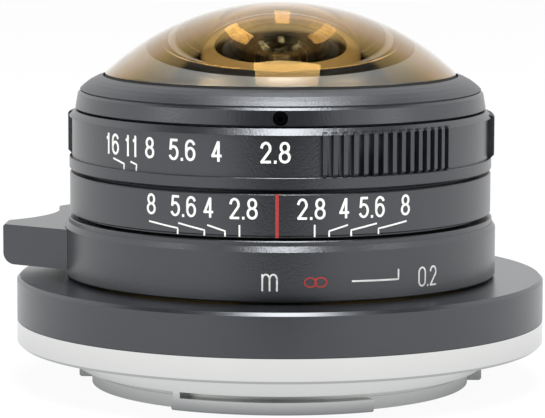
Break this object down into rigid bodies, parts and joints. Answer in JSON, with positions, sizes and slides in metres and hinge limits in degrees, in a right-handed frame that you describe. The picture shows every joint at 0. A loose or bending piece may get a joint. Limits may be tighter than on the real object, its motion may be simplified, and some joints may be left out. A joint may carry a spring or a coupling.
{
  "type": "fisheye camera lens",
  "caption": "Small manual fisheye lens with a domed front glass, aperture ring, crescent focusing tab and lugged bayonet.",
  "frame": {"origin": "point of the optical axis in the seat face of the bayonet", "axes": "+Z along the optical axis out of the front glass, -Y towards the index line of the scales"},
  "size_m": [0.0582, 0.0566, 0.0409],
  "materials": {
    "bright_steel": "satin chrome-plated brass",
    "screw_steel": "plain steel",
    "dark_steel": "blackened steel",
    "black_metal": "black anodised, satin",
    "black_paint": "matt black inside paint",
    "brass": "turned brass",
    "front_glass": "polished and coated",
    "optical_glass": "polished and coated",
    "seal_rubber": "matt rubber",
    "blade_steel": "blackened spring steel"
  },
  "bodies": {
    "mount_base": {"bayonet_mount": "bright_steel", "bayonet_screws": "screw_steel", "flange_ring": "black_metal", "guide_sleeve": "brass", "sleeve_screws": "screw_steel", "rear_baffle": "black_paint", "baffle_screws": "screw_steel", "focus_stop_pin": "screw_steel"},
    "focus_body": {"focus_ring": "black_metal", "focus_tab": "black_metal", "focus_tab_screws": "screw_steel"},
    "lens_unit": {"lens_barrel": "black_metal", "follower_pins": "screw_steel", "scale_ring": "black_metal", "front_ring": "black_metal", "front_lock_screw": "dark_steel", "dome_bezel": "black_metal", "dome_element": "front_glass", "dome_seal": "seal_rubber", "second_element": "optical_glass", "front_spacer": "black_paint", "third_element": "optical_glass", "front_retainer": "black_paint", "iris_base": "black_paint", "fourth_element": "optical_glass", "doublet_front": "optical_glass", "doublet_rear": "optical_glass", "rear_spacer": "black_paint", "seventh_element": "optical_glass", "rear_retainer": "black_paint", "rear_cell": "black_metal"},
    "aperture_body": {"aperture_ring": "black_metal", "aperture_drive_pin": "screw_steel", "iris_actuator": "brass"},
    "blade_1": {"aperture_blade_1": "blade_steel"},
    "blade_2": {"aperture_blade_2": "blade_steel"},
    "blade_3": {"aperture_blade_3": "blade_steel"},
    "blade_4": {"aperture_blade_4": "blade_steel"},
    "blade_5": {"aperture_blade_5": "blade_steel"},
    "blade_6": {"aperture_blade_6": "blade_steel"},
    "blade_7": {"aperture_blade_7": "blade_steel"}
  },
  "joints": [
    {"name": "focus_turn", "type": "hinge", "parent": "mount_base", "child": "focus_body", "pos_m": [0, 0, 0.0106], "axis": [0, 0, 1], "range_deg": [-80, 0]},
    {"name": "unit_slide", "type": "slide", "parent": "mount_base", "child": "lens_unit", "axis": [0, 0, 1], "range_m": [0, 0.0008]},
    {"name": "aperture_turn", "type": "hinge", "parent": "lens_unit", "child": "aperture_body", "pos_m": [0, 0, 0.022], "axis": [0, 0, 1], "range_deg": [0, 45]},
    {"name": "blade_1_turn", "type": "hinge", "parent": "lens_unit", "child": "blade_1", "pos_m": [0.0074, 0, 0.01693], "axis": [0, -0.1387, 0.9903], "range_deg": [0, 20.5]},
    {"name": "blade_2_turn", "type": "hinge", "parent": "lens_unit", "child": "blade_2", "pos_m": [0.00461, 0.00579, 0.01693], "axis": [0.1084, -0.0864, 0.9903], "range_deg": [0, 20.5]},
    {"name": "blade_3_turn", "type": "hinge", "parent": "lens_unit", "child": "blade_3", "pos_m": [-0.00165, 0.00721, 0.01693], "axis": [0.1352, 0.0309, 0.9903], "range_deg": [0, 20.5]},
    {"name": "blade_4_turn", "type": "hinge", "parent": "lens_unit", "child": "blade_4", "pos_m": [-0.00667, 0.00321, 0.01693], "axis": [0.0602, 0.1249, 0.9903], "range_deg": [0, 20.5]},
    {"name": "blade_5_turn", "type": "hinge", "parent": "lens_unit", "child": "blade_5", "pos_m": [-0.00667, -0.00321, 0.01693], "axis": [-0.0602, 0.1249, 0.9903], "range_deg": [0, 20.5]},
    {"name": "blade_6_turn", "type": "hinge", "parent": "lens_unit", "child": "blade_6", "pos_m": [-0.00165, -0.00721, 0.01693], "axis": [-0.1352, 0.0309, 0.9903], "range_deg": [0, 20.5]},
    {"name": "blade_7_turn", "type": "hinge", "parent": "lens_unit", "child": "blade_7", "pos_m": [0.00461, -0.00579, 0.01693], "axis": [-0.1084, -0.0864, 0.9903], "range_deg": [0, 20.5]}
  ],
  "couplings": [
    {"joint": "focus_turn", "follows": "unit_slide", "rad_per_m": -1745.2},
    {"joint": "blade_1_turn", "follows": "aperture_turn", "ratio": 0.45556},
    {"joint": "blade_2_turn", "follows": "aperture_turn", "ratio": 0.45556},
    {"joint": "blade_3_turn", "follows": "aperture_turn", "ratio": 0.45556},
    {"joint": "blade_4_turn", "follows": "aperture_turn", "ratio": 0.45556},
    {"joint": "blade_5_turn", "follows": "aperture_turn", "ratio": 0.45556},
    {"joint": "blade_6_turn", "follows": "aperture_turn", "ratio": 0.45556},
    {"joint": "blade_7_turn", "follows": "aperture_turn", "ratio": 0.45556}
  ]
}
